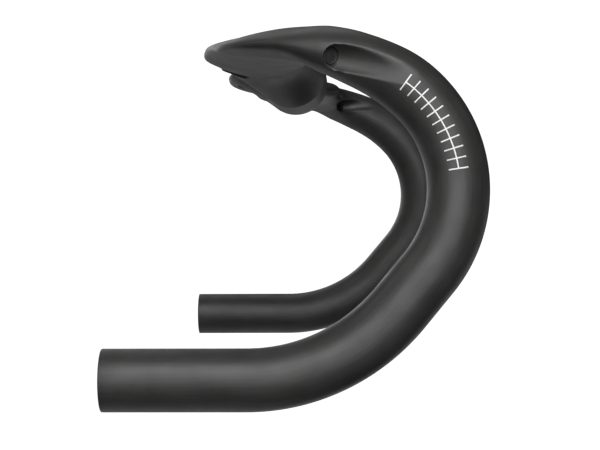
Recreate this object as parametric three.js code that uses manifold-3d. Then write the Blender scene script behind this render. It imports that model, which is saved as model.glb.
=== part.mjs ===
// Carbon drop handlebar for a road bicycle, in millimetres, +Z up.
//
// The origin is the centre of the stem clamp section. +X points forward along the bicycle, +Y to
// the rider's left. The bar mirrors about the plane y = 0: every shape is first described on the
// right-hand side (y < 0) as a loft of cross-sections along a spine, and the left side is its mirror.

import * as THREE from 'three';
import { mergeVertices } from 'three/addons/utils/BufferGeometryUtils.js';
import Module from 'manifold-3d';

const wasm = await Module();
wasm.setup();

// ---- driving dimensions -------------------------------------------------------------------

const CLAMP_DIAMETER = 31.8;          // stem clamp standard
const TUBE_DIAMETER = 23.8;           // lever and tape standard on the drops
const CLAMP_HALF = 33;                // round clamp length, each side of the centre
const END_HALF_WIDTH = 210;           // centre of each bar end from the mid plane
const FLARE = 8.3;                    // degrees, outward lean of each drop
const LEAN_BLEND = 5;                 // height over which the lean sets in below the bend
const DROP = 127;                     // clamp axis down to the axis of the bar ends
const END_X = -65;                    // cut face of the bar ends

// The spine beyond the tops, as arcs: radius, and the headings they turn to.
const BEND_RADIUS = 38.3;             // tops into ramp, seen from above
const BEND_SPLIT = 50;                // degrees of that turn that stay almost level
const BEND_DIVE = 1.4;                // degrees below level at the split
const RAMP_DIVE = 20.2;               // degrees below level where the bend ends
const RAMP_RADIUS = 96;               // long shallow arc of the ramp
const HOOK_DIVE = 27.8;               // degrees, where the ramp meets the hook
const HOOK_RADIUS = 49.6;             // the hook itself
const GRIP_DIVE = 129.8;              // degrees, heading of the short straight behind the hook
const GRIP_LENGTH = 16.7;
const LOWER_RADIUS = 74.6;            // from the short straight to level
const END_LENGTH = 54.4;              // level straight up to the cut end

const WALL = 2;                       // tube wall of the moulding
const CLAMP_WALL = 3;                 // thicker under the stem
const GAP = 0.3;                      // bond line between pieces that touch
const JOINT_OFFSET = 78;              // bonded joint below the lever seat, distance after the bend
const SLEEVE_HALF = 14;               // joint sleeve, each side of the joint
const SLEEVE_WALL = 1.4;

const ENTRY_RADIUS = 2.5;             // round cable port in the outboard groove
const INNER_RADIUS = 1.9;             // round cable port in the inboard groove
const EXIT_RADIUS = 2.8;              // cable slot under the rear edge of the top
const EXIT_HALF = 3;
const LIP = 0.7;                      // wall of a rubber grommet
const GROMMET_DEPTH = 2.4;
const GUIDE_RADIUS = 3;               // cable guide tube inside the bar
const GUIDE_WALL = 0.5;
const SCALE_MIDDLE = 40;              // middle of the lever scale, distance after the bend
const SCALE_TICKS = 11;
const SCALE_PITCH = 3.87;
const SCALE_TICK_LENGTH = 7.3;
const SCALE_LINE = 0.6;
const SCALE_THICKNESS = 0.25;

// ---- materials ----------------------------------------------------------------------------

const finish = (color, roughness, metalness = 0) =>
  new THREE.MeshStandardMaterial({ color, roughness, metalness });

const carbon = () => finish(0x2b2b2a, 0.5);
const laminate = () => finish(0x1d1d1d, 0.7);
const rubber = () => finish(0x161616, 0.85);
const print = () => finish(0xe9e9e6, 0.6);

// ---- spine --------------------------------------------------------------------------------

const rad = THREE.MathUtils.degToRad;
const STEP = 1;                       // spacing of the traced spine points

// Unit heading of the spine. plan is the turn seen from above (0 = outboard, a quarter turn =
// forward) and dive is the heading below level.
function heading(plan, dive) {
  const level = Math.cos(dive);
  return new THREE.Vector3(Math.sin(plan) * level, -Math.cos(plan) * level, -Math.sin(dive));
}

// Smaller of two values, rounded off where they come within reach of each other.
function smoothMin(a, b, reach) {
  const soft = Math.max(0, reach - Math.abs(a - b)) / reach;
  return Math.min(a, b) - (soft * soft * reach) / 4;
}

// Walks the arcs from the end of the tops to the bar end.
function traceSpine() {
  const arc = (radius, from, to) => radius * rad(to - from);
  const quarter = Math.PI / 2;
  const legs = [
    { length: arc(BEND_RADIUS, 0, BEND_SPLIT), plan: rad(BEND_SPLIT), dive: rad(BEND_DIVE) },
    { length: arc(BEND_RADIUS, BEND_SPLIT, 90), plan: quarter, dive: rad(RAMP_DIVE) },
    { length: arc(RAMP_RADIUS, RAMP_DIVE, HOOK_DIVE), plan: quarter, dive: rad(HOOK_DIVE) },
    { length: arc(HOOK_RADIUS, HOOK_DIVE, GRIP_DIVE), plan: quarter, dive: rad(GRIP_DIVE) },
    { length: GRIP_LENGTH, plan: quarter, dive: rad(GRIP_DIVE) },
    { length: arc(LOWER_RADIUS, GRIP_DIVE, 180), plan: quarter, dive: Math.PI },
    { length: END_LENGTH, plan: quarter, dive: Math.PI },
  ];
  const place = new THREE.Vector3();
  const points = [{ s: 0, plan: 0, dive: 0, place: place.clone() }];
  let before = points[0];
  let bendEnd = before;
  for (const [number, leg] of legs.entries()) {
    const count = Math.ceil(leg.length / STEP);
    const mix = (key, t) => before[key] + (leg[key] - before[key]) * t;
    for (let i = 0; i < count; i++) {
      const middle = (i + 0.5) / count;
      const next = (i + 1) / count;
      place.addScaledVector(heading(mix('plan', middle), mix('dive', middle)), leg.length / count);
      const s = before.s + leg.length * next;
      points.push({ s, plan: mix('plan', next), dive: mix('dive', next), place: place.clone() });
    }
    before = points.at(-1);
    if (number === 1) bendEnd = before;
  }
  // Anchor at the cut end, then lean the drop outboard as it goes down.
  const end = place.clone();
  const rampZ = bendEnd.place.z - end.z - DROP;
  for (const point of points) {
    point.place.x += END_X - end.x;
    point.place.z += -DROP - end.z;
    const lean = Math.tan(rad(FLARE)) * (smoothMin(point.place.z, rampZ, LEAN_BLEND) + DROP);
    point.place.y += lean - END_HALF_WIDTH - end.y;
  }
  return { points, bend: bendEnd.s, total: before.s };
}

const spine = traceSpine();
const BEND_START = spine.points[0].place;
const TOP_LENGTH = -BEND_START.y;     // mid plane to the start of the bend
const BEND_END = TOP_LENGTH + spine.bend;
const JOINT = BEND_END + JOINT_OFFSET;
const END = TOP_LENGTH + spine.total;

// Point and axes of the spine at distance s from the mid plane. Along the tops it is straight.
function frameAt(s) {
  const local = THREE.MathUtils.clamp(s - TOP_LENGTH, 0, spine.total);
  const k = Math.max(1, spine.points.findIndex((point) => point.s >= local - 1e-9));
  const a = spine.points[k - 1];
  const b = spine.points[k];
  const t = (local - a.s) / (b.s - a.s);
  const plan = THREE.MathUtils.lerp(a.plan, b.plan, t);
  const ahead = heading(plan, THREE.MathUtils.lerp(a.dive, b.dive, t));
  const centre = a.place.clone().lerp(b.place, t).addScaledVector(ahead, s - TOP_LENGTH - local);
  const across = new THREE.Vector3(Math.cos(plan), Math.sin(plan), 0);
  return { centre, across, up: new THREE.Vector3().crossVectors(ahead, across) };
}

// ---- cross-sections -----------------------------------------------------------------------

// Section shapes by distance from the mid plane. chord lies across the spine and height upright,
// tail thins the rear (or outboard) edge and camber lifts it, roll turns the section (degrees,
// forward or inboard edge up), and aside and lift move its centre off the spine.
const CLAMP = { chord: CLAMP_DIAMETER, height: CLAMP_DIAMETER, aside: -BEND_START.x, lift: -BEND_START.z };
const TUBE = { chord: TUBE_DIAMETER, height: TUBE_DIAMETER, aside: 0, lift: 0 };
const ROUND = { tail: 0, camber: 0, roll: 0 };
const SECTIONS = [
  { s: CLAMP_HALF, ...CLAMP, ...ROUND },
  { s: 60, chord: 42.9, height: 21, tail: 0.45, camber: 2.1, roll: 3.1, aside: -7.4, lift: 5 },
  { s: 88, chord: 47.3, height: 18.6, tail: 0.45, camber: 0.2, roll: 0.5, aside: -5.8, lift: 5 },
  { s: 112, chord: 46.1, height: 16.6, tail: 0.46, camber: 0.8, roll: -1.9, aside: -3.6, lift: 4.2 },
  { s: 140, chord: 45.4, height: 15.2, tail: 0.44, camber: 0.6, roll: 0.8, aside: 1.1, lift: 3.8 },
  { s: TOP_LENGTH, chord: 47, height: 15.3, tail: 0.47, camber: 1.2, roll: 6, aside: 4.5, lift: 3.4 },
  { s: TOP_LENGTH + 34, chord: 37.5, height: 16.6, tail: 0.3, camber: 2.8, roll: 9, aside: 5, lift: 1.3 },
  { s: BEND_END - 13, chord: 30, height: 19, tail: 0.05, camber: 0.6, roll: 8, aside: 3.6, lift: 0.7 },
  { s: BEND_END, chord: 25.4, height: 21.1, tail: 0, camber: 0, roll: 7.1, aside: 1.5, lift: 0.4 },
  { s: BEND_END + 26, ...TUBE, ...ROUND },
  { s: END, ...TUBE, ...ROUND },
];

// Smooth monotone curve through the rows: value of a column at distance s. It leaves the clamp
// at a slope, because the fairing starts there with a crease.
function column(name, s) {
  const last = SECTIONS.length - 1;
  if (s <= SECTIONS[0].s) return SECTIONS[0][name];
  if (s >= SECTIONS[last].s) return SECTIONS[last][name];
  const k = SECTIONS.findIndex((row) => row.s > s) - 1;
  const slope = (i) => (SECTIONS[i + 1][name] - SECTIONS[i][name]) / (SECTIONS[i + 1].s - SECTIONS[i].s);
  const tangent = (i) => {
    if (i === 0) return slope(0);
    if (i === last) return 0;
    const before = slope(i - 1);
    const after = slope(i);
    return before * after <= 0 ? 0 : (2 * before * after) / (before + after);
  };
  const width = SECTIONS[k + 1].s - SECTIONS[k].s;
  const t = (s - SECTIONS[k].s) / width;
  const a = SECTIONS[k][name];
  const b = SECTIONS[k + 1][name];
  return a + (b - a) * t * t * (3 - 2 * t)
    + width * (tangent(k) * t * (1 - t) * (1 - t) - tangent(k + 1) * t * t * (1 - t));
}

// Grooves that lead the cables into the right-hand bend, as a round-nosed cutter leaves them. The
// cutter starts at mouth at its full depth and runs forward, falling by fall degrees; it rises by
// climb and its radius grows by growth for each millimetre. side is -1 outboard and +1 inboard,
// tip turns the cutter to come from below the horizontal, and nose is the length of the rounded
// rear end.
const GROOVES = [
  {
    side: -1,
    mouth: new THREE.Vector3(23, -202.9, -6.6),
    fall: 4.3,
    tip: 14,
    radius: 5.5,
    growth: 0.12,
    depth: 5.3,
    climb: 0.31,
    nose: 5,
  },
  {
    side: 1,
    mouth: new THREE.Vector3(22.5, -176.2, -4),
    fall: -8,
    tip: 0,
    radius: 3,
    growth: 0.05,
    depth: 3.2,
    climb: -0.15,
    nose: 3.2,
  },
];
const RIM = 0.7;                      // rounding where a groove meets the surface
const RIM_GROWTH = 0.06;

// Presses the grooves into a point of a surface that lies inset below the outer one.
function grooved(point, inset) {
  for (const groove of GROOVES) {
    const tip = rad(groove.tip);
    const fall = rad(groove.fall);
    const out = new THREE.Vector3(0, groove.side * Math.cos(tip), -Math.sin(tip));
    const rise = new THREE.Vector3(0, groove.side * Math.sin(tip), Math.cos(tip));
    const fromMouth = point.clone().sub(groove.mouth);
    const z = fromMouth.dot(rise);
    const h = fromMouth.dot(out);
    const a = fromMouth.x * Math.cos(fall) - z * Math.sin(fall);
    const b = fromMouth.x * Math.sin(fall) + z * Math.cos(fall);
    const ahead = Math.max(a, 0);
    const radius = groove.radius + groove.growth * ahead;
    const reach = radius + inset;
    const back = Math.min(a, 0) * (reach / (groove.nose + inset));
    const square = reach * reach - b * b - back * back;
    if (square <= 0) continue;
    const floor = groove.climb * ahead - groove.depth + radius - Math.sqrt(square);
    point.addScaledVector(out, smoothMin(h, floor, RIM + RIM_GROWTH * ahead) - h);
  }
  return point;
}

// Point of the surface at distance s and angle: 0 is the forward or inboard edge, a quarter turn
// is the top and half a turn the rear or outboard edge.
function surfacePoint(s, angle, inset = 0) {
  const chord = column('chord', s);
  const height = column('height', s);
  const tail = column('tail', s);
  const camber = column('camber', s);
  const outline = (at) => {
    const rear = (1 - Math.cos(at)) / 2;
    const half = (height / 2) * (1 - tail * rear);
    return new THREE.Vector2((Math.cos(at) * chord) / 2, Math.sin(at) * half + camber * rear * rear);
  };
  const nudge = 1e-3;
  const point = outline(angle);
  const tangent = outline(angle + nudge).sub(outline(angle - nudge)).normalize();
  point.x -= tangent.y * inset;
  point.y += tangent.x * inset;
  point.rotateAround(new THREE.Vector2(), rad(column('roll', s)));
  const { centre, across, up } = frameAt(s);
  centre.addScaledVector(across, point.x + column('aside', s));
  centre.addScaledVector(up, point.y + column('lift', s));
  return grooved(centre, inset);
}

// Middle of the section, where the inner pieces run.
function sectionCentre(s) {
  const { centre, across, up } = frameAt(s);
  return centre.addScaledVector(across, column('aside', s)).addScaledVector(up, column('lift', s));
}

// One closed outline of the section, with its points crowded towards the two edges.
const CROWD = 0.2;
function ring(s, sides, inset = 0) {
  return Array.from({ length: sides }, (_, i) => {
    const turn = (i / sides) * Math.PI * 2;
    return surfacePoint(s, turn - CROWD * Math.sin(2 * turn), inset);
  });
}

// ---- solids -------------------------------------------------------------------------------

// Closed solid through a list of rings, flat at both ends.
function loft(rings) {
  const sides = rings[0].length;
  const positions = [];
  const index = [];
  for (const points of rings) for (const p of points) positions.push(p.x, p.y, p.z);
  for (let r = 0; r < rings.length - 1; r++) {
    for (let i = 0; i < sides; i++) {
      const j = (i + 1) % sides;
      const a = r * sides + i;
      const b = r * sides + j;
      index.push(a, b, a + sides, b, b + sides, a + sides);
    }
  }
  for (const [r, flip] of [[0, true], [rings.length - 1, false]]) {
    const centre = rings[r].reduce((sum, p) => sum.add(p), new THREE.Vector3()).divideScalar(sides);
    const hub = positions.length / 3;
    positions.push(centre.x, centre.y, centre.z);
    for (let i = 0; i < sides; i++) {
      const a = r * sides + i;
      const b = r * sides + ((i + 1) % sides);
      if (flip) index.push(hub, b, a);
      else index.push(hub, a, b);
    }
  }
  const geometry = new THREE.BufferGeometry();
  geometry.setAttribute('position', new THREE.Float32BufferAttribute(positions, 3));
  geometry.setIndex(index);
  return solid(geometry);
}

// three.js geometry to a manifold solid; turns it inside out if its faces point inwards.
function solid(geometry) {
  const plain = geometry.clone();
  plain.deleteAttribute('normal');
  plain.deleteAttribute('uv');
  const merged = mergeVertices(plain, 1e-4);
  const make = (triVerts) => new wasm.Manifold(new wasm.Mesh({
    numProp: 3,
    vertProperties: new Float32Array(merged.attributes.position.array),
    triVerts,
  }));
  const triangles = new Uint32Array(merged.index.array);
  const body = make(triangles);
  if (body.volume() > 0) return body;
  for (let i = 0; i < triangles.length; i += 3) {
    [triangles[i], triangles[i + 1]] = [triangles[i + 1], triangles[i]];
  }
  return make(triangles);
}

function geometryOf(body) {
  const mesh = body.getMesh();
  const geometry = new THREE.BufferGeometry();
  geometry.setAttribute('position', new THREE.Float32BufferAttribute(mesh.vertProperties, 3));
  geometry.setIndex(Array.from(mesh.triVerts));
  geometry.computeVertexNormals();
  return geometry;
}

// The same shape on the other side of the bicycle.
function mirrored(geometry) {
  const copy = geometry.clone();
  const place = copy.attributes.position;
  for (let i = 0; i < place.count; i++) place.setY(i, -place.getY(i));
  const index = copy.index.array;
  for (let i = 0; i < index.length; i += 3) [index[i], index[i + 1]] = [index[i + 1], index[i]];
  copy.computeVertexNormals();
  return copy;
}

// Stations from one distance to another, about one every spacing millimetres.
function stations(from, to, spacing) {
  const count = Math.max(1, Math.round((to - from) / spacing));
  return Array.from({ length: count + 1 }, (_, i) => from + ((to - from) * i) / count);
}

// Outline of a port: a circle of the radius, stretched to a slot when half is over 0.
function portOutline(radius, half, Kind = THREE.Shape) {
  const outline = new Kind();
  outline.absarc(half, 0, radius, -Math.PI / 2, Math.PI / 2);
  outline.absarc(-half, 0, radius, Math.PI / 2, Math.PI * 1.5);
  outline.closePath();
  return outline;
}

// Extrudes an outline between two depths along a port's axis, measured outward from its point.
function onPort(port, outline, from, to) {
  const options = { depth: to - from, bevelEnabled: false, curveSegments: 6 };
  const geometry = new THREE.ExtrudeGeometry(outline, options);
  geometry.translate(0, 0, from);
  const z = port.axis;
  const level = Math.abs(z.z) > 0.9 ? new THREE.Vector3(0, 1, 0) : new THREE.Vector3(0, 0, 1);
  const x = new THREE.Vector3().crossVectors(level, z).normalize();
  const y = new THREE.Vector3().crossVectors(z, x);
  geometry.applyMatrix4(new THREE.Matrix4().makeBasis(x, y, z).setPosition(port.point));
  return solid(geometry);
}

// ---- ports --------------------------------------------------------------------------------

// The entry port is set square to the sloping rear end of the outboard groove.
const PORTS = {
  entry: {
    point: new THREE.Vector3(21.2, -198.9, -5.6),
    axis: new THREE.Vector3(0.6, -0.78, -0.15).normalize(),
    radius: ENTRY_RADIUS,
    half: 0,
  },
  inner: {
    point: new THREE.Vector3(21.3, -178.9, -4),
    axis: new THREE.Vector3(0.75, 0.66, 0).normalize(),
    radius: INNER_RADIUS,
    half: 0,
  },
  exit: {
    point: surfacePoint(57, rad(238)),
    axis: new THREE.Vector3(0, 0, -1),
    radius: EXIT_RADIUS,
    half: EXIT_HALF,
  },
};

// ---- the pieces of the right side, and the centre ------------------------------------------

const OUTER_SIDES = 22;
const INNER_SIDES = 14;
const DROP_SPACING = 8.5;             // between the stations of the plain tube
const PORT_DEPTH = 5;                 // how far a port cut reaches each way from its point

function centreSection() {
  const half = (sides, inset, spacing, past) => {
    const marks = [
      0,
      ...stations(CLAMP_HALF, TOP_LENGTH, spacing * 3),
      ...stations(TOP_LENGTH, BEND_END - 18, spacing * 1.5).slice(1),
      ...stations(BEND_END - 18, BEND_END + 22, spacing).slice(1),
      ...stations(BEND_END + 22, JOINT - GAP / 2, spacing * 2).slice(1),
    ];
    if (past) marks.push(JOINT + past);
    return marks.map((s) => ring(s, sides, inset(s)));
  };
  const flip = (points) => points.map((p) => new THREE.Vector3(p.x, -p.y, p.z));
  const both = (sides, inset, spacing, past) => {
    const right = half(sides, inset, spacing, past);
    return loft([...right.slice(1).reverse(), ...right.map(flip)]);
  };
  const wall = (s) => CLAMP_WALL + (WALL - CLAMP_WALL) * THREE.MathUtils.smoothstep(s, CLAMP_HALF, 80);
  let body = both(OUTER_SIDES, () => 0, 3.2, 0).subtract(both(INNER_SIDES, wall, 4.5, 1));
  for (const port of Object.values(PORTS)) {
    const cut = onPort(port, portOutline(port.radius + LIP + GAP, port.half), -PORT_DEPTH, PORT_DEPTH);
    body = body.subtract(cut).subtract(solid(mirrored(geometryOf(cut))));
  }
  return body;
}

function drop() {
  const outer = stations(JOINT + GAP / 2, END, DROP_SPACING);
  const inner = [JOINT - 1, ...outer.slice(1, -1), END + 1];
  const hollow = loft(inner.map((s) => ring(s, INNER_SIDES, WALL)));
  return loft(outer.map((s) => ring(s, OUTER_SIDES))).subtract(hollow);
}

// Rubber sleeve that lines a port, between two depths measured outward from its point.
function grommet(port, from = -GROMMET_DEPTH, to = 0.2) {
  const outline = portOutline(port.radius + LIP, port.half);
  outline.holes.push(portOutline(port.radius, port.half, THREE.Path));
  return onPort(port, outline, from, to);
}

// Rubber plug that closes a port, dished inside its rim.
function plug(port) {
  const disc = onPort(port, portOutline(port.radius + LIP, port.half), -2, -0.8);
  return disc.add(grommet(port, -1, -0.3));
}

// Tube that carries the cable from behind the inner port to the exit slot.
function cableGuide() {
  const marks = stations(TOP_LENGTH - 80, BEND_END - 24, 14);
  const exit = PORTS.exit.point;
  const start = new THREE.Vector3(exit.x + 2, exit.y - 8, exit.z + 6.5);
  const section = new THREE.Shape().absarc(0, 0, GUIDE_RADIUS, 0, Math.PI * 2);
  section.holes.push(new THREE.Path().absarc(0, 0, GUIDE_RADIUS - GUIDE_WALL, 0, Math.PI * 2));
  return solid(new THREE.ExtrudeGeometry(section, {
    extrudePath: new THREE.CatmullRomCurve3([start, ...marks.map(sectionCentre)]),
    steps: 24,
    curveSegments: 5,
    bevelEnabled: false,
  }));
}

function jointSleeve() {
  const span = stations(JOINT - SLEEVE_HALF, JOINT + SLEEVE_HALF, 5.3);
  const past = [JOINT - SLEEVE_HALF - 1, ...span, JOINT + SLEEVE_HALF + 1];
  const outside = loft(span.map((s) => ring(s, INNER_SIDES, WALL + GAP)));
  return outside.subtract(loft(past.map((s) => ring(s, INNER_SIDES, WALL + GAP + SLEEVE_WALL))));
}

function clampSleeve() {
  const flats = Math.cos((Math.PI / INNER_SIDES) * (1 + 2 * CROWD));
  const radius = (CLAMP_DIAMETER / 2 - CLAMP_WALL) * flats - GAP;
  const length = CLAMP_HALF - 4;
  const profile = [
    [radius - SLEEVE_WALL, -length], [radius, -length], [radius, length],
    [radius - SLEEVE_WALL, length], [radius - SLEEVE_WALL, -length],
  ].map(([r, h]) => new THREE.Vector2(r, h));
  return solid(new THREE.LatheGeometry(profile, 24));
}

// Printed scale on the outboard face: one line along the bar, crossed by the ticks.
function leverScale() {
  const middle = BEND_END + SCALE_MIDDLE;
  const half = ((SCALE_TICKS - 1) * SCALE_PITCH) / 2;
  const clear = GAP + SCALE_THICKNESS / 2;
  // A thin strip bent onto the face: x along the spine, y round the bar, z outward.
  const strip = (s, length, width, segments) => {
    const geometry = new THREE.BoxGeometry(length, width, SCALE_THICKNESS, ...segments, 1);
    const place = geometry.attributes.position;
    for (let i = 0; i < place.count; i++) {
      const angle = Math.PI - place.getY(i) / (TUBE_DIAMETER / 2);
      const p = surfacePoint(s + place.getX(i), angle, -clear - place.getZ(i));
      place.setXYZ(i, p.x, p.y, p.z);
    }
    return solid(geometry);
  };
  let body = strip(middle, 2 * half + SCALE_LINE, SCALE_LINE, [12, 1]);
  for (let i = 0; i < SCALE_TICKS; i++) {
    body = body.add(strip(middle - half + i * SCALE_PITCH, SCALE_LINE, SCALE_TICK_LENGTH, [1, 3]));
  }
  return body;
}

// ---- assembly -----------------------------------------------------------------------------

const group = new THREE.Group();

function place(name, geometry, material) {
  const mesh = new THREE.Mesh(geometry, material);
  mesh.name = name;
  group.add(mesh);
}

function pair(name, body, material) {
  const geometry = geometryOf(body);
  place(`right_${name}`, geometry, material());
  place(`left_${name}`, mirrored(geometry), material());
}

place('center_section', geometryOf(centreSection()), carbon());
place('clamp_sleeve', geometryOf(clampSleeve()), laminate());
pair('drop', drop(), carbon);
pair('joint_sleeve', jointSleeve(), laminate);
pair('entry_plug', plug(PORTS.entry), rubber);
pair('inner_grommet', grommet(PORTS.inner), rubber);
pair('exit_grommet', grommet(PORTS.exit), rubber);
pair('cable_guide', cableGuide(), laminate);
pair('lever_scale', leverScale(), print);

export default group;
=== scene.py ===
"""Drop handlebar: the looks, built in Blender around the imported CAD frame.

The moulded bar is rebuilt as fine shells on the same spine and cross-sections as the CAD solids.
Lengths in the tables are millimetres, as on the part's drawing; meshes are made in metres.
"""

import math

import bmesh
import bpy
import numpy as np
from mathutils import Matrix


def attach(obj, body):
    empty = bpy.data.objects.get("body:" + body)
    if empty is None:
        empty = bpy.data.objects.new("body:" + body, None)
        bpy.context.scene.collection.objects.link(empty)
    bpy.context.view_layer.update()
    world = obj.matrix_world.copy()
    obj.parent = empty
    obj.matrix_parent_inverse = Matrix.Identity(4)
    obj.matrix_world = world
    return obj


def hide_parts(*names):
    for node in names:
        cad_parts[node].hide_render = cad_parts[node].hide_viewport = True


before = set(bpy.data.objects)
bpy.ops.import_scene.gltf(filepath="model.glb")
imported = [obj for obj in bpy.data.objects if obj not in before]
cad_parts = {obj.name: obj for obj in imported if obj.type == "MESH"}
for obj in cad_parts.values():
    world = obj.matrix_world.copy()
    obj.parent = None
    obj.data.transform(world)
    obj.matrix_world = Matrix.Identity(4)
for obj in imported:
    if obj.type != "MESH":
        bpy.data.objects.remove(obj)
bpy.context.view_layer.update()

MM = 0.001

# ---- driving dimensions, in millimetres and degrees -------------------------------------------

# FLARE, DROP, END_X and the spine's radii, dives and lengths come from a least-squares fit of the
# bar's outline, rounded. The diameters and END_HALF_WIDTH are standard sizes.
CLAMP_DIAMETER = 31.8
TUBE_DIAMETER = 23.8
CLAMP_HALF = 33
END_HALF_WIDTH = 210
FLARE = 8.3
LEAN_BLEND = 5                # height over which the flare sets in below the bend
DROP = 127
END_X = -65

BEND_RADIUS = 38.3
BEND_SPLIT = 50
BEND_DIVE = 1.4
RAMP_DIVE = 20.2
RAMP_RADIUS = 96
HOOK_DIVE = 27.8
HOOK_RADIUS = 49.6
GRIP_DIVE = 129.8
GRIP_LENGTH = 16.7
LOWER_RADIUS = 74.6
END_LENGTH = 54.4

WALL = 2
CLAMP_WALL = 3
JOINT_OFFSET = 78
WALL_BLEND_END = 80           # the wall has thinned from the clamp's to the bar's by here
TUBE_START = 26               # from the end of the bend to where the tube is round
END_ROUND = 0.35              # broken edge of the cut bar ends

SCALE_MIDDLE = 40
SCALE_TICKS = 11
SCALE_PITCH = 3.87
SCALE_TICK_LENGTH = 7.4
SCALE_LINE = 0.5
SCALE_PROUD = 0.06            # thickness of the print above the lacquer

AROUND = 144                  # points round each section
EDGE_CROWDING = 0.25          # how far those points draw towards the section's two edges
SIDE_WORDS = {-1: "right", 1: "left"}


# ---- spine ------------------------------------------------------------------------------------

def heading(plan, dive):
    """Unit heading of the spine: plan 0 is outboard and a quarter turn is forward."""
    return np.stack([np.sin(plan) * np.cos(dive), -np.cos(plan) * np.cos(dive), -np.sin(dive)], -1)


def smooth_min(a, b, reach):
    """The lower of two values, rounded where they are within reach of each other."""
    soft = np.clip(reach - np.abs(a - b), 0, None) / reach
    return np.minimum(a, b) - soft * soft * reach / 4


class Spine:
    """Centre line of the right-hand half, from the end of the straight tops to the bar end."""

    STEP = 0.1

    def __init__(self):
        arcs = (
            (BEND_RADIUS * math.radians(BEND_SPLIT), BEND_SPLIT, BEND_DIVE),
            (BEND_RADIUS * math.radians(90 - BEND_SPLIT), 90, RAMP_DIVE),
            (RAMP_RADIUS * math.radians(HOOK_DIVE - RAMP_DIVE), 90, HOOK_DIVE),
            (HOOK_RADIUS * math.radians(GRIP_DIVE - HOOK_DIVE), 90, GRIP_DIVE),
            (GRIP_LENGTH, 90, GRIP_DIVE),
            (LOWER_RADIUS * math.radians(180 - GRIP_DIVE), 90, 180),
            (END_LENGTH, 90, 180),
        )
        ends = np.cumsum([0.0] + [length for length, _, _ in arcs])
        plans = np.radians([0] + [plan for _, plan, _ in arcs])
        dives = np.radians([0] + [dive for _, _, dive in arcs])
        count = round(ends[-1] / self.STEP)
        self.s = np.linspace(0, ends[-1], count + 1)
        self.plan = np.interp(self.s, ends, plans)
        self.dive = np.interp(self.s, ends, dives)
        middle = (self.s[1:] + self.s[:-1]) / 2
        steps = heading(np.interp(middle, ends, plans), np.interp(middle, ends, dives))
        place = np.vstack([np.zeros(3), np.cumsum(steps * (self.s[1] - self.s[0]), axis=0)])
        ramp_z = np.interp(ends[2], self.s, place[:, 2]) - place[-1, 2] - DROP
        place[:, 0] += END_X - place[-1, 0]
        place[:, 2] += -DROP - place[-1, 2]
        low = smooth_min(place[:, 2], ramp_z, LEAN_BLEND)
        place[:, 1] += math.tan(math.radians(FLARE)) * (low + DROP) - END_HALF_WIDTH - place[-1, 1]
        self.place = place
        self.start = place[0]
        self.top = -place[0, 1]
        self.bend_end = self.top + ends[2]
        self.end = self.top + ends[-1]

    def frame(self, s):
        """Centre and axes at distances s from the mid plane."""
        local = np.clip(s - self.top, 0, self.s[-1])
        centre = np.stack([np.interp(local, self.s, self.place[:, k]) for k in range(3)], -1)
        plan = np.interp(local, self.s, self.plan)
        ahead = heading(plan, np.interp(local, self.s, self.dive))
        centre = centre + ahead * (s - self.top - local)[:, None]
        across = np.stack([np.cos(plan), np.sin(plan), np.zeros_like(plan)], -1)
        return centre, across, np.cross(ahead, across)


SPINE = Spine()
TOP = SPINE.top
BEND_END = SPINE.bend_end
JOINT = BEND_END + JOINT_OFFSET
END = SPINE.end

# ---- cross-sections ---------------------------------------------------------------------------

# Each row is a distance from the mid plane followed by the columns. The eight rows between the
# clamp and the round tube come from a least-squares fit of the bar's outline, rounded. Those at
# 140, TOP, TOP + 34 and BEND_END - 13 were changed after it.
COLUMNS = ("chord", "height", "tail", "camber", "roll", "aside", "lift")
SECTIONS = (
    (CLAMP_HALF, CLAMP_DIAMETER, CLAMP_DIAMETER, 0, 0, 0, -SPINE.start[0], -SPINE.start[2]),
    (60, 42.9, 21, 0.45, 2.1, 3.1, -7.4, 5),
    (88, 47.3, 18.6, 0.45, 0.2, 0.5, -5.8, 5),
    (112, 46.1, 16.6, 0.46, 0.8, -1.9, -3.6, 4.2),
    (140, 45.4, 15.2, 0.44, 0.6, 0.8, 1.1, 3.8),
    (TOP, 47, 15.3, 0.47, 1.2, 6, 4.5, 3.4),
    (TOP + 34, 37.5, 16.6, 0.3, 2.8, 9, 5, 1.3),
    (BEND_END - 13, 30, 19, 0.05, 0.6, 8, 3.6, 0.7),
    (BEND_END, 25.4, 21.1, 0, 0, 7.1, 1.5, 0.4),
    (BEND_END + TUBE_START, TUBE_DIAMETER, TUBE_DIAMETER, 0, 0, 0, 0, 0),
    (END, TUBE_DIAMETER, TUBE_DIAMETER, 0, 0, 0, 0, 0),
)


def column(name, s):
    """Smooth monotone curve through one column of the section table, at distances s."""
    table = np.array(SECTIONS, float)
    rows, values = table[:, 0], table[:, 1 + COLUMNS.index(name)]
    slope = np.diff(values) / np.diff(rows)
    tangent = np.zeros(len(rows))
    tangent[0] = slope[0]
    before, after = slope[:-1], slope[1:]
    same = before * after > 0
    tangent[1:-1][same] = (2 * before * after)[same] / (before + after)[same]
    s = np.clip(s, rows[0], rows[-1])
    k = np.clip(np.searchsorted(rows, s, side="right") - 1, 0, len(rows) - 2)
    width = rows[k + 1] - rows[k]
    t = (s - rows[k]) / width
    ease = values[k] + (values[k + 1] - values[k]) * t * t * (3 - 2 * t)
    return ease + width * (tangent[k] * t * (1 - t) ** 2 - tangent[k + 1] * t * t * (1 - t))


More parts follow.
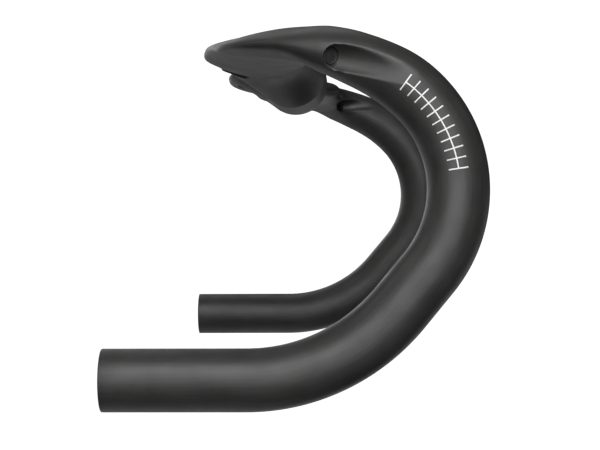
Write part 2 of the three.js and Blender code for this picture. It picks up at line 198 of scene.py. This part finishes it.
# Grooves that lead the cables in, as a round-nosed cutter leaves them. The cutter starts at mouth
# at its full depth and runs forward, falling by fall degrees; it rises by climb and its radius
# grows by growth for each millimetre. side is -1 outboard and +1 inboard, and tip turns the
# cutter to come from below the horizontal.
GROOVES = (
    dict(side=-1, mouth=(23, -202.9, -6.6), fall=4.3, tip=14,
         radius=5.5, growth=0.12, depth=5.3, climb=0.31, nose=5),
    dict(side=1, mouth=(22.5, -176.2, -4), fall=-8, tip=0,
         radius=3, growth=0.05, depth=3.2, climb=-0.15, nose=3.2),
)
RIM = 0.7                     # rounding where a groove meets the surface
RIM_GROWTH = 0.06


def grooved(points, inset):
    """Presses the grooves into points of a right-hand surface inset below the outer one."""
    points = points.copy()
    for groove in GROOVES:
        side, fall, tip = groove["side"], math.radians(groove["fall"]), math.radians(groove["tip"])
        out = np.array((0, side * math.cos(tip), -math.sin(tip)))
        rise = np.array((0, side * math.sin(tip), math.cos(tip)))
        from_mouth = points - np.array(groove["mouth"])
        x, z, h = from_mouth[..., 0], from_mouth @ rise, from_mouth @ out
        a = x * math.cos(fall) - z * math.sin(fall)
        b = x * math.sin(fall) + z * math.cos(fall)
        ahead = np.maximum(a, 0)
        radius = groove["radius"] + groove["growth"] * ahead
        reach = radius + inset
        back = np.minimum(a, 0) * (reach / (groove["nose"] + inset))
        square = reach * reach - b * b - back * back
        low = groove["climb"] * ahead - groove["depth"]
        floor = low + radius - np.sqrt(np.clip(square, 0, None))
        move = smooth_min(h, floor, RIM + RIM_GROWTH * ahead) - h
        points += np.where(square > 0, move, 0)[..., None] * out
    return points


def surface(s, angle, inset=0.0):
    """Right-hand surface at distances s (n,) and angles (m,): an (n, m, 3) array of points."""
    s = np.atleast_1d(np.asarray(s, float))
    inset = np.broadcast_to(np.asarray(inset, float), s.shape)[:, None]
    columns = (column(name, s)[:, None] for name in COLUMNS)
    chord, height, tail, camber, roll, aside, lift = columns

    def outline(at):
        rear = (1 - np.cos(at)) / 2
        half_height = np.sin(at) * height / 2 * (1 - tail * rear)
        return np.cos(at) * chord / 2, half_height + camber * rear ** 2

    angle = np.asarray(angle, float)[None, :]
    nudge = 1e-3
    u, v = outline(angle)
    u1, v1 = outline(angle + nudge)
    u0, v0 = outline(angle - nudge)
    size = np.hypot(u1 - u0, v1 - v0)
    u, v = u - (v1 - v0) / size * inset, v + (u1 - u0) / size * inset
    turn = np.radians(roll)
    u, v = (u * np.cos(turn) - v * np.sin(turn) + aside,
            u * np.sin(turn) + v * np.cos(turn) + lift)
    centre, across, up = SPINE.frame(s)
    points = centre[:, None] + across[:, None] * u[..., None] + up[:, None] * v[..., None]
    return grooved(points, inset)


def around(count=AROUND):
    """Angles round a section, crowded towards its two edges."""
    turn = np.arange(count) / count * 2 * math.pi
    return turn - EDGE_CROWDING * np.sin(2 * turn)


# ---- object helpers ---------------------------------------------------------------------------

def add_object(name, data):
    """A new object of the scene that shows the data."""
    obj = bpy.data.objects.new(name, data)
    bpy.context.scene.collection.objects.link(obj)
    return obj


def place_object(obj, right, up, back, centre):
    """Turns and moves an object so that its axes are right, up and back."""
    axes = Matrix((right, up, back)).transposed().to_4x4()
    obj.matrix_world = Matrix.Translation(centre) @ axes


def make_object(name, points, faces, material, sharp=35):
    """A smooth-shaded mesh object from points in millimetres, with sharp edges over an angle.

    The faces of a closed body are turned to point out, so their order round it doesn't matter.
    """
    mesh = bpy.data.meshes.new(name)
    mesh.from_pydata((np.asarray(points) * MM).tolist(), [], [list(face) for face in faces])
    body = bmesh.new()
    body.from_mesh(mesh)
    bmesh.ops.recalc_face_normals(body, faces=body.faces)
    body.to_mesh(mesh)
    body.free()
    mesh.polygons.foreach_set("use_smooth", np.ones(len(mesh.polygons), bool))
    mesh.materials.append(material)
    obj = add_object(name, mesh)
    mesh.set_sharp_from_angle(angle=math.radians(sharp))
    return obj


def grid_faces(rows, columns, close_rows):
    """Quads of a grid that closes on itself across, and also along when close_rows is true."""
    r = np.arange(rows if close_rows else rows - 1)[:, None]
    c = np.arange(columns)[None, :]
    a = r * columns + c
    b = r * columns + (c + 1) % columns
    below = (r + 1) % rows
    faces = np.stack([a, b, below * columns + (c + 1) % columns, below * columns + c], -1)
    return faces.reshape(-1, 4).tolist()


def mirror(points):
    """Points of the other half of the bar."""
    return points * np.array([1, -1, 1])


def on_side(points, side):
    """Points of the right-hand half (side -1), or their mirror image (side 1)."""
    return mirror(points) if side > 0 else points


def piece(obj, slot, *nodes):
    """Attaches an object to the root body and hides the CAD nodes that it stands in for."""
    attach(obj, "root")
    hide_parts(*nodes)
    return obj


# ---- materials --------------------------------------------------------------------------------

NOISE_LOW, NOISE_HIGH = 0.25, 0.75      # a noise texture's values lie mostly between these


class Nodes:
    """Small wrapper that adds and links shader nodes of one material. Bumps are in metres."""

    def __init__(self, name):
        self.material = bpy.data.materials.new(name)
        self.material.use_nodes = True
        self.tree = self.material.node_tree
        self.shader = self.tree.nodes["Principled BSDF"]

    def add(self, kind, inputs=None, **settings):
        node = self.tree.nodes.new(kind)
        for key, value in settings.items():
            setattr(node, key, value)
        for key, value in (inputs or {}).items():
            if isinstance(value, bpy.types.NodeSocket):
                self.tree.links.new(value, node.inputs[key])
            else:
                node.inputs[key].default_value = value
        return node

    def to_shader(self, key, value):
        if isinstance(value, bpy.types.NodeSocket):
            self.tree.links.new(value, self.shader.inputs[key])
        else:
            self.shader.inputs[key].default_value = value

    def noise(self, vector, scale, detail=2.0, roughness=0.5):
        inputs = {"Vector": vector, "Scale": scale, "Detail": detail, "Roughness": roughness}
        return self.add("ShaderNodeTexNoise", inputs).outputs["Fac"]

    def spread(self, value, low, high):
        """Maps a noise value to a range."""
        inputs = {"Value": value, "From Min": NOISE_LOW, "From Max": NOISE_HIGH,
                  "To Min": low, "To Max": high}
        return self.add("ShaderNodeMapRange", inputs).outputs["Result"]

    def grey(self, value, tint):
        """A colour that follows a grey value, slightly tinted."""
        scaled = [self.add("ShaderNodeMath", {0: value, 1: part}, operation="MULTIPLY")
                  for part in tint]
        parts = {key: node.outputs[0] for key, node in zip(("Red", "Green", "Blue"), scaled)}
        return self.add("ShaderNodeCombineColor", parts).outputs["Color"]

    def bump(self, height, distance, below=None):
        inputs = {"Height": height, "Distance": distance, "Strength": 1.0}
        if below is not None:
            inputs["Normal"] = below
        return self.add("ShaderNodeBump", inputs).outputs["Normal"]


def carbon_material():
    """Satin lacquer over unidirectional carbon: faint streaks along the lay, fine orange peel."""
    n = Nodes("satin_carbon")
    place = n.add("ShaderNodeTexCoord").outputs["Object"]
    lay = n.add("ShaderNodeAttribute", attribute_name="lay").outputs["Vector"]
    streak = n.noise(lay, 1.0, detail=3.0, roughness=0.6)
    cloud = n.noise(place, 80.0, detail=4.0, roughness=0.6)
    both = n.add("ShaderNodeMath", {0: streak, 1: cloud}, operation="ADD").outputs[0]
    tone = n.add("ShaderNodeMath", {0: both, 1: 0.5}, operation="MULTIPLY").outputs[0]
    n.to_shader("Base Color", n.grey(n.spread(tone, 0.018, 0.046), (1.0, 1.0, 0.97)))
    n.to_shader("Roughness", n.spread(n.noise(place, 110.0, detail=4.0), 0.41, 0.53))
    n.to_shader("IOR", 1.5)
    peel = n.bump(n.noise(place, 900.0, detail=1.5), 0.00001)
    n.to_shader("Normal", n.bump(streak, 0.00002, peel))
    return n.material


def laminate_material():
    """Bare laminate inside the bar: wavy and a little resin-rich."""
    n = Nodes("bare_laminate")
    place = n.add("ShaderNodeTexCoord").outputs["Object"]
    wave = n.noise(place, 140.0, detail=4.0)
    n.to_shader("Base Color", n.grey(n.spread(wave, 0.012, 0.028), (1.0, 1.0, 1.0)))
    n.to_shader("Roughness", n.spread(wave, 0.5, 0.75))
    n.to_shader("Normal", n.bump(wave, 0.0002))
    return n.material


def rubber_material():
    """Soft moulded rubber of the grommets and plugs."""
    n = Nodes("port_rubber")
    place = n.add("ShaderNodeTexCoord").outputs["Object"]
    grain = n.noise(place, 2600.0, detail=2.0)
    tone = n.spread(n.noise(place, 300.0), 0.018, 0.026)
    n.to_shader("Base Color", n.grey(tone, (1.0, 1.0, 0.98)))
    n.to_shader("Roughness", n.spread(grain, 0.6, 0.75))
    n.to_shader("Normal", n.bump(grain, 0.00002))
    return n.material


def print_material():
    """White screen print, a little uneven in cover."""
    n = Nodes("white_print")
    place = n.add("ShaderNodeTexCoord").outputs["Object"]
    cover = n.noise(place, 1500.0, detail=3.0)
    n.to_shader("Base Color", n.grey(n.spread(cover, 0.74, 0.86), (1.0, 1.0, 0.98)))
    n.to_shader("Roughness", n.spread(cover, 0.4, 0.55))
    n.to_shader("Normal", n.bump(cover, 0.000004))
    return n.material


CARBON = carbon_material()
LAMINATE = laminate_material()
RUBBER = rubber_material()
PRINT = print_material()


# ---- ports ------------------------------------------------------------------------------------

LIP = 0.7                     # wall of a rubber grommet
GROMMET_DEPTH = 2.4
PORT_GAP = 0.06               # between the rubber and the hole it sits in
PORT_SIDES = 48
EXIT_DISTANCE = 57            # of the exit slots' middle from the mid plane
EXIT_ANGLE = 238              # round the section: 0 is the front edge, 90 the top


def unit(vector):
    return np.asarray(vector, float) / np.linalg.norm(vector)


def on_surface(s, angle):
    """Point of the right-hand surface and the direction straight out of it."""
    step, turn = 0.2, 0.02
    ahead = surface([s - step, s + step], [angle])[:, 0]
    beside = surface([s], [angle - turn, angle + turn])[0]
    out = unit(np.cross(beside[1] - beside[0], ahead[1] - ahead[0]))
    point = surface([s], [angle])[0, 0]
    centre = surface([s], around())[0].mean(0)
    return point, out if out @ (point - centre) > 0 else -out


EXIT_POINT, EXIT_AXIS = on_surface(EXIT_DISTANCE, math.radians(EXIT_ANGLE))

# Each port's place, the way it faces, and its radius. half is half the straight length of a slot.
# The places were first worked out with the fitted spine and camera, and changed later.
PORTS = {
    "entry": dict(point=(21.2, -198.9, -5.6), axis=(0.6, -0.78, -0.15), radius=2.5, half=0),
    "inner": dict(point=(21.3, -178.9, -4), axis=(0.75, 0.66, 0), radius=1.9, half=0),
    "exit": dict(point=EXIT_POINT, axis=EXIT_AXIS, radius=2.8, half=3),
}


def port_rings(port, profile):
    """Outlines of a port grown by each (outward, growth) pair of the profile."""
    axis = unit(port["axis"])
    x = unit(np.array([1, 0, 0]) - axis[0] * axis)
    y = np.cross(axis, x)
    angle = (np.arange(PORT_SIDES) + 0.5) / PORT_SIDES * 2 * math.pi
    rings = []
    for outward, growth in profile:
        radius = port["radius"] + growth
        u = np.cos(angle) * radius + np.sign(np.cos(angle)) * port["half"]
        v = np.sin(angle) * radius
        rings.append(np.array(port["point"]) + outward * axis + u[:, None] * x + v[:, None] * y)
    return np.array(rings)


def capped(rings):
    """Points and faces of a closed solid through rings, with a fan at each end."""
    rows, sides = rings.shape[:2]
    points = np.vstack([rings.reshape(-1, 3), rings[0].mean(0), rings[-1].mean(0)])
    faces = grid_faces(rows, sides, False)
    first, last = rows * sides, rows * sides + 1
    for i in range(sides):
        j = (i + 1) % sides
        faces.append([first, j, i])
        faces.append([last, (rows - 1) * sides + i, (rows - 1) * sides + j])
    return points, faces


def cut_ports(shell):
    """Cuts every port through a shell on both sides, with a softly rounded mouth."""
    mouth = [(-5, 0), (-0.7, 0), (-0.35, 0.05), (-0.1, 0.15), (0.1, 0.3), (0.3, 0.5), (0.9, 0.6)]
    profile = [(outward, LIP + PORT_GAP + growth) for outward, growth in mouth]
    cutters = []
    for name, port in PORTS.items():
        for side in (-1, 1):
            points, faces = capped(port_rings(port, profile))
            cutters.append(make_object(f"cut_{name}_{side}", on_side(points, side), faces, CARBON))
    for cutter in cutters:
        cut = shell.modifiers.new("cut", "BOOLEAN")
        cut.operation = "DIFFERENCE"
        cut.solver = "MANIFOLD"
        cut.object = cutter
    graph = bpy.context.evaluated_depsgraph_get()
    mesh = bpy.data.meshes.new_from_object(shell.evaluated_get(graph))
    shell.modifiers.clear()
    shell.data = mesh
    for cutter in cutters:
        bpy.data.objects.remove(cutter)
    mesh.set_sharp_from_angle(angle=math.radians(50))


def grommet_rings(port):
    """Rubber sleeve with a rounded lip, as a profile that closes on itself."""
    lip = np.radians(np.arange(0, 181, 30))
    half = LIP / 2
    bead = [(-half + half * math.sin(a), half + half * math.cos(a)) for a in lip]
    return port_rings(port, [(-GROMMET_DEPTH, 0), (-GROMMET_DEPTH, LIP), *bead])


def plug_rings(port):
    """Rubber plug: dished face inside a raised, rounded rim."""
    profile = [(-2, LIP), (-0.5, LIP), (-0.2, LIP - 0.1), (-0.1, LIP - 0.3), (-0.2, LIP - 0.5),
               (-0.45, LIP - 0.65), (-0.55, LIP - 0.9), (-0.45, -1.2), (-0.4, -2.2)]
    return port_rings(port, profile)


def port_rubber():
    """Sleeves in the inboard ports and exit slots, and a plug in each outboard port."""
    for side, word in SIDE_WORDS.items():
        for name in ("inner", "exit"):
            rings = grommet_rings(PORTS[name])
            faces = grid_faces(len(rings), rings.shape[1], True)
            points = on_side(rings.reshape(-1, 3), side)
            sleeve = make_object(f"{word}_{name}_port_sleeve", points, faces, RUBBER)
            piece(sleeve, "rubber", f"{word}_{name}_grommet")
        points, faces = capped(plug_rings(PORTS["entry"]))
        plug = make_object(f"{word}_entry_port_plug", on_side(points, side), faces, RUBBER)
        piece(plug, "rubber", f"{word}_entry_plug")


# ---- moulded shells ---------------------------------------------------------------------------

def stations(*spans):
    """Distances through consecutive (from, to, spacing) spans, without repeats."""
    parts = [np.linspace(a, b, max(1, round((b - a) / gap)) + 1) for a, b, gap in spans]
    return np.unique(np.round(np.concatenate(parts), 6))


GROOVE_START, GROOVE_END = BEND_END - 20, BEND_END + 24     # finely spaced, for the grooves
LAST_STRETCH = END - 60       # widely spaced from here, as the tube is almost straight
LAY_WRAP = 16.0               # noise cells from the middle of a section to its edge
LAY_LENGTH = 0.06             # noise cells per millimetre along the bar


def lay_values(s, side):
    """Fibre coordinates of each point: long along the bar and short round it."""
    s = np.broadcast_to(s[:, None], (len(s), AROUND))
    angle = np.broadcast_to(around()[None, :], s.shape)
    wrap = np.stack([np.cos(angle), np.sin(angle)]) * LAY_WRAP
    return np.stack([*wrap, s * side * LAY_LENGTH], -1)


def add_lay(obj, values):
    """Stores the fibre coordinates that the carbon's streaks follow."""
    attribute = obj.data.attributes.new("lay", "FLOAT_VECTOR", "POINT")
    attribute.data.foreach_set("vector", values.astype(np.float32).ravel())


def centre_shell():
    """Skin of the centre moulding, inside and out, from joint to joint."""
    crease_start, crease_end, slots_end = CLAMP_HALF - 1, CLAMP_HALF + 1, 64
    outside = stations(
        (0, crease_start, 3), (crease_start, crease_end, 0.4), (crease_end, slots_end, 1),
        (slots_end, TOP, 1.8), (TOP, GROOVE_START, 1.2), (GROOVE_START, GROOVE_END, 0.4),
        (GROOVE_END, JOINT, 1.6))
    inside = stations((0, TOP, 3), (TOP, GROOVE_START, 2), (GROOVE_START, GROOVE_END, 1),
                      (GROOVE_END, JOINT, 3))
    t = np.clip((inside - CLAMP_HALF) / (WALL_BLEND_END - CLAMP_HALF), 0, 1)
    wall = CLAMP_WALL + (WALL - CLAMP_WALL) * t * t * (3 - 2 * t)
    outer = surface(outside, around())
    inner = surface(inside, around(), wall)
    rows = np.concatenate([outer[:0:-1], mirror(outer), mirror(inner[:0:-1]), inner])
    lay = np.concatenate([
        lay_values(outside[:0:-1], 1), lay_values(outside, -1),
        lay_values(inside[:0:-1], -1), lay_values(inside, 1)])
    faces = grid_faces(len(rows), AROUND, True)
    obj = make_object("centre_shell", rows.reshape(-1, 3), faces, CARBON)
    add_lay(obj, lay)
    return obj


def drop_shell(side):
    """Skin of one hook and drop tube, with the edges of its cut end rounded."""
    outside = stations((JOINT, LAST_STRETCH, 1.6), (LAST_STRETCH, END - END_ROUND, 4))
    turn = np.radians(np.array([30, 60, 90]))
    round_s = END - END_ROUND * (1 - np.sin(turn))
    round_inset = END_ROUND * (1 - np.cos(turn))
    inside = stations((JOINT, LAST_STRETCH, 3), (LAST_STRETCH, END - END_ROUND, 6))[::-1]
    s = np.concatenate([outside, round_s, round_s[::-1], inside])
    inset = np.concatenate([np.zeros(len(outside)), round_inset, WALL - round_inset[::-1],
                            np.full(len(inside), float(WALL))])
    rows = on_side(surface(s, around(), inset), side)
    name = f"{SIDE_WORDS[side]}_drop_shell"
    obj = make_object(name, rows.reshape(-1, 3), grid_faces(len(rows), AROUND, True), CARBON)
    add_lay(obj, lay_values(s, -side))
    return obj


centre = centre_shell()
cut_ports(centre)
piece(centre, "carbon", "center_section")
piece(drop_shell(-1), "carbon", "right_drop")
piece(drop_shell(1), "carbon", "left_drop")
port_rubber()


# ---- lever scale ------------------------------------------------------------------------------

def scale_print(side):
    """Ladder of ticks on one long line, laid on the outboard face as a thin closed film."""
    half = (SCALE_TICKS - 1) * SCALE_PITCH / 2
    line = SCALE_LINE / 2
    ticks = BEND_END + SCALE_MIDDLE - half + np.arange(SCALE_TICKS) * SCALE_PITCH
    spans = [(tick - line, tick + line) for tick in ticks]
    s = np.unique(np.round(np.concatenate(
        [np.linspace(a, b, 3) for a, b in spans]
        + [np.linspace(a[1], b[0], 6) for a, b in zip(spans[:-1], spans[1:])]), 6))
    reach = SCALE_TICK_LENGTH / 2
    v = np.concatenate([np.linspace(-reach, -line, 8), np.linspace(-line, line, 3)[1:],
                        np.linspace(line, reach, 8)[1:]])
    middle_s = (s[1:] + s[:-1]) / 2
    middle_v = (v[1:] + v[:-1]) / 2
    on_tick = np.abs(middle_s[:, None] - ticks[None, :]).min(1) < line
    shown = on_tick[:, None] | (np.abs(middle_v) < line)[None, :]
    angle = math.pi - v / (TUBE_DIAMETER / 2)
    layers = np.concatenate([surface(s, angle, -SCALE_PROUD), surface(s, angle, SCALE_PROUD)])
    layers = on_side(layers, side)
    wide = len(v)
    deep = len(s) * wide
    faces = []
    cells = set(zip(*np.nonzero(shown)))
    for i, j in sorted(cells):
        a = i * wide + j
        corners = (a, a + 1, a + wide + 1, a + wide)
        faces.append(corners)
        faces.append(tuple(corner + deep for corner in corners))
        for k, neighbour in enumerate(((i - 1, j), (i, j + 1), (i + 1, j), (i, j - 1))):
            if neighbour not in cells:
                p, q = corners[k], corners[(k + 1) % 4]
                faces.append((q, p, p + deep, q + deep))
    used = np.unique(np.array(faces))
    renumber = {old: new for new, old in enumerate(used)}
    faces = [[renumber[corner] for corner in face] for face in faces]
    name = f"{SIDE_WORDS[side]}_scale_print"
    return make_object(name, layers.reshape(-1, 3)[used], faces, PRINT, sharp=60)


piece(scale_print(-1), "print", "right_lever_scale")
piece(scale_print(1), "print", "left_lever_scale")

# ---- carried-over nodes -----------------------------------------------------------------------

for name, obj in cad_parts.items():
    if name.endswith(("sleeve", "guide")):
        obj.data.materials.clear()
        obj.data.materials.append(LAMINATE)


# ---- stage, light and camera ------------------------------------------------------------------

def backdrop():
    """Pale floor that sweeps up all round into a pale wall, and which only the camera sees."""
    floor_z, radius, corner, height = -450, 2600, 900, 3600
    turn = np.radians(np.linspace(0, 90, 13))
    profile = [(0.1, floor_z), (radius / 2, floor_z)]
    profile += [(radius + corner * math.sin(a), floor_z + corner * (1 - math.cos(a))) for a in turn]
    profile += [(radius + corner, floor_z + height)]
    sides = 96
    angle = np.arange(sides) / sides * 2 * math.pi
    rows = np.array([[(r * math.cos(a), r * math.sin(a), z) for a in angle]
                     for r, z in profile])
    n = Nodes("pale_backdrop")
    n.to_shader("Base Color", (0.9, 0.9, 0.9, 1))
    n.to_shader("Roughness", 0.9)
    n.to_shader("Emission Color", (1, 1, 1, 1))
    n.to_shader("Emission Strength", 1.0)
    faces = grid_faces(len(rows), sides, False)
    obj = make_object("backdrop", rows.reshape(-1, 3), faces, n.material)
    obj.visible_diffuse = False
    obj.visible_glossy = False
    obj.visible_shadow = False


# Round soft boxes on a sphere about the bar, in metres.
SPHERE_CENTRE = (0.02, 0, -0.06)
SPHERE_RADIUS = 2.0
BOX_DIAMETER = 1.3

# Azimuth and elevation of each box in degrees, and its watts. Azimuth 0 is forward along the
# bicycle and -90 is the camera's side. The bounce boxes stand in for light off the floor. The
# values come from a least-squares solve, rounded. Only bounce_low's watts were changed after it.
SOFT_BOXES = {
    "key": (-89, 38, 23.5),
    "front_fill_rear": (-109, 14, 9.5),
    "front_fill_level": (-76, 1, 11),
    "rear_high": (-174, 45, 2.7),
    "far_top": (101, 53, 3.7),
    "far_rim": (114, 12, 6.5),
    "far_level": (94, -9, 0.9),
    "rear_rim": (146, -1, 2.7),
    "fore_rim": (41, -17, 2.5),
    "bounce_rear": (126, -23, 1.9),
    "bounce_far": (73, -32, 2.8),
    "bounce_low": (106, -49, 2.2),
    "bounce_under": (138, -78, 2.3),
}


def soft_box(name, azimuth, elevation, power):
    turn, rise = math.radians(azimuth), math.radians(elevation)
    level = math.cos(rise)
    back = np.array((math.cos(turn) * level, math.sin(turn) * level, math.sin(rise)))
    right = unit(np.cross((0, 0, 1), back))
    data = bpy.data.lights.new(name, "AREA")
    data.shape = "DISK"
    data.size = BOX_DIAMETER
    data.energy = power
    obj = add_object(name, data)
    place = np.array(SPHERE_CENTRE) + SPHERE_RADIUS * back
    place_object(obj, right, np.cross(back, right), back, place)
    obj.visible_camera = False


# The camera's place, in metres, and its angles come from the same fit as the spine.
CAMERA_PLACE = (0.0304, -0.878, -0.0623)
CAMERA_YAW, CAMERA_PITCH, CAMERA_ROLL = 1.797, -0.589, -0.222
LENS, SENSOR_WIDTH = 107.8, 36


def camera():
    """Long lens from the right-hand side, a little below the tops."""
    yaw, pitch, roll = np.radians((CAMERA_YAW, CAMERA_PITCH, CAMERA_ROLL))
    ahead = math.cos(pitch)
    forward = np.array((-math.sin(yaw) * ahead, math.cos(yaw) * ahead, math.sin(pitch)))
    level = unit(np.cross(forward, (0, 0, 1)))
    upright = np.cross(level, forward)
    right = level * math.cos(roll) + upright * math.sin(roll)
    up = upright * math.cos(roll) - level * math.sin(roll)
    data = bpy.data.cameras.new("camera")
    data.lens = LENS
    data.sensor_width = SENSOR_WIDTH
    obj = add_object("camera", data)
    place_object(obj, right, up, -forward, CAMERA_PLACE)
    bpy.context.scene.camera = obj


backdrop()
for box_name, box_light in SOFT_BOXES.items():
    soft_box(box_name, *box_light)
camera()

world = bpy.data.worlds.new("studio")
world.use_nodes = True
world.node_tree.nodes["Background"].inputs["Strength"].default_value = 0.0
bpy.context.scene.world = world
bpy.context.scene.view_settings.view_transform = "Standard"
